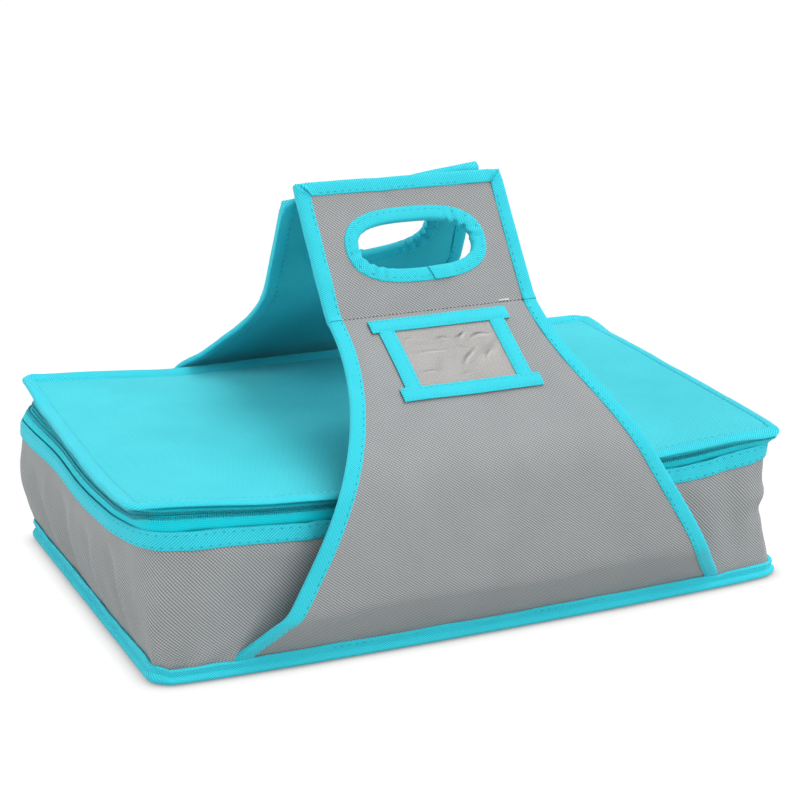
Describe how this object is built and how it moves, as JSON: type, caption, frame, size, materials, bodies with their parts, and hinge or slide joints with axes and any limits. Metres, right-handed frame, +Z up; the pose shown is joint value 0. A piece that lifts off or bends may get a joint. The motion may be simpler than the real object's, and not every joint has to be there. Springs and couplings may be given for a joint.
{
  "type": "casserole carrier",
  "caption": "Soft zipped casserole carrier with a padded tray body, hinged lid and tall side panels that meet over the lid as hand grips.",
  "frame": {"origin": "bottom centre of the bounding box, on the surface that the base rests on", "axes": "+X along the length to the right as seen from the front, +Y to the back, +Z up"},
  "size_m": [0.408, 0.3106, 0.2492],
  "materials": {
    "grey_cloth": "matt woven polyester",
    "turquoise_cloth": "matt woven polyester",
    "binding_tape": "woven herringbone tape with a slight sheen",
    "zip_tape": "knitted tape",
    "zip_coil": "nylon coil",
    "zip_metal": "enamelled zinc",
    "clear_vinyl": "clear wrinkled sheet",
    "silver_film": "silvery insulating film",
    "padding": "foam wadding",
    "board": "plain sheet"
  },
  "bodies": {
    "carrier": {"base_binding": "binding_tape", "base_panel": "grey_cloth", "base_board": "board", "base_lining": "silver_film", "wall_outer": "grey_cloth", "wall_foam": "padding", "wall_lining": "silver_film", "wall_band": "binding_tape", "zip_tape_lower": "zip_tape", "zip_coil_lower": "zip_coil", "lid_hinge_strip": "turquoise_cloth", "front_foot": "grey_cloth", "front_foot_lining": "turquoise_cloth", "front_foot_binding_left": "binding_tape", "front_foot_binding_right": "binding_tape", "back_foot": "grey_cloth", "back_foot_lining": "turquoise_cloth", "back_foot_binding_left": "binding_tape", "back_foot_binding_right": "binding_tape"},
    "lid": {"lid_binding": "binding_tape", "lid_cover": "turquoise_cloth", "lid_foam": "padding", "lid_lining": "silver_film", "zip_coil_upper": "zip_coil", "zip_tape_upper": "zip_tape", "lid_hinge_flap": "turquoise_cloth"},
    "front_panel": {"front_panel": "grey_cloth", "front_panel_lining": "turquoise_cloth", "front_panel_binding_left": "binding_tape", "front_panel_binding_right": "binding_tape", "id_window": "clear_vinyl", "id_strip_top": "binding_tape", "id_strip_bottom": "binding_tape", "id_strip_left": "binding_tape", "id_strip_right": "binding_tape"},
    "front_grip": {"front_grip": "grey_cloth", "front_grip_board": "board", "front_grip_lining": "turquoise_cloth", "front_grip_binding": "binding_tape", "front_grip_hole_binding": "binding_tape"},
    "back_panel": {"back_panel": "grey_cloth", "back_panel_lining": "turquoise_cloth", "back_panel_binding_left": "binding_tape", "back_panel_binding_right": "binding_tape"},
    "back_grip": {"back_grip": "grey_cloth", "back_grip_board": "board", "back_grip_lining": "turquoise_cloth", "back_grip_binding": "binding_tape", "back_grip_hole_binding": "binding_tape"},
    "zip_slider": {"zip_slider": "zip_metal"},
    "zip_pull": {"zip_pull": "zip_metal"}
  },
  "joints": [
    {"name": "lid_swing", "type": "hinge", "parent": "carrier", "child": "lid", "pos_m": [0, 0.128, 0.093], "axis": [-1, 0, 0], "range_deg": [0, 96]},
    {"name": "front_panel_swing", "type": "hinge", "parent": "carrier", "child": "front_panel", "pos_m": [0, -0.1553, 0.03742], "axis": [1, 0, 0], "range_deg": [0, 120]},
    {"name": "front_grip_bend", "type": "hinge", "parent": "front_panel", "child": "front_grip", "pos_m": [0, -0.05173, 0.17709], "axis": [1, 0, 0], "range_deg": [0, 32]},
    {"name": "back_panel_swing", "type": "hinge", "parent": "carrier", "child": "back_panel", "pos_m": [0, 0.1553, 0.03742], "axis": [-1, 0, 0], "range_deg": [0, 120]},
    {"name": "back_grip_bend", "type": "hinge", "parent": "back_panel", "child": "back_grip", "pos_m": [0, 0.05177, 0.17203], "axis": [-1, 0, 0], "range_deg": [0, 32]},
    {"name": "zip_slider_travel", "type": "slide", "parent": "carrier", "child": "zip_slider", "axis": [0, -1, 0], "range_m": [0, 0.178]},
    {"name": "zip_pull_flip", "type": "hinge", "parent": "zip_slider", "child": "zip_pull", "pos_m": [0.20135, 0.084, 0.093], "axis": [0, 0, -1], "range_deg": [0, 90]}
  ],
  "couplings": [
    {"joint": "front_panel_swing", "follows": "lid_swing", "ratio": 1.25},
    {"joint": "back_panel_swing", "follows": "lid_swing", "ratio": 1.25}
  ]
}
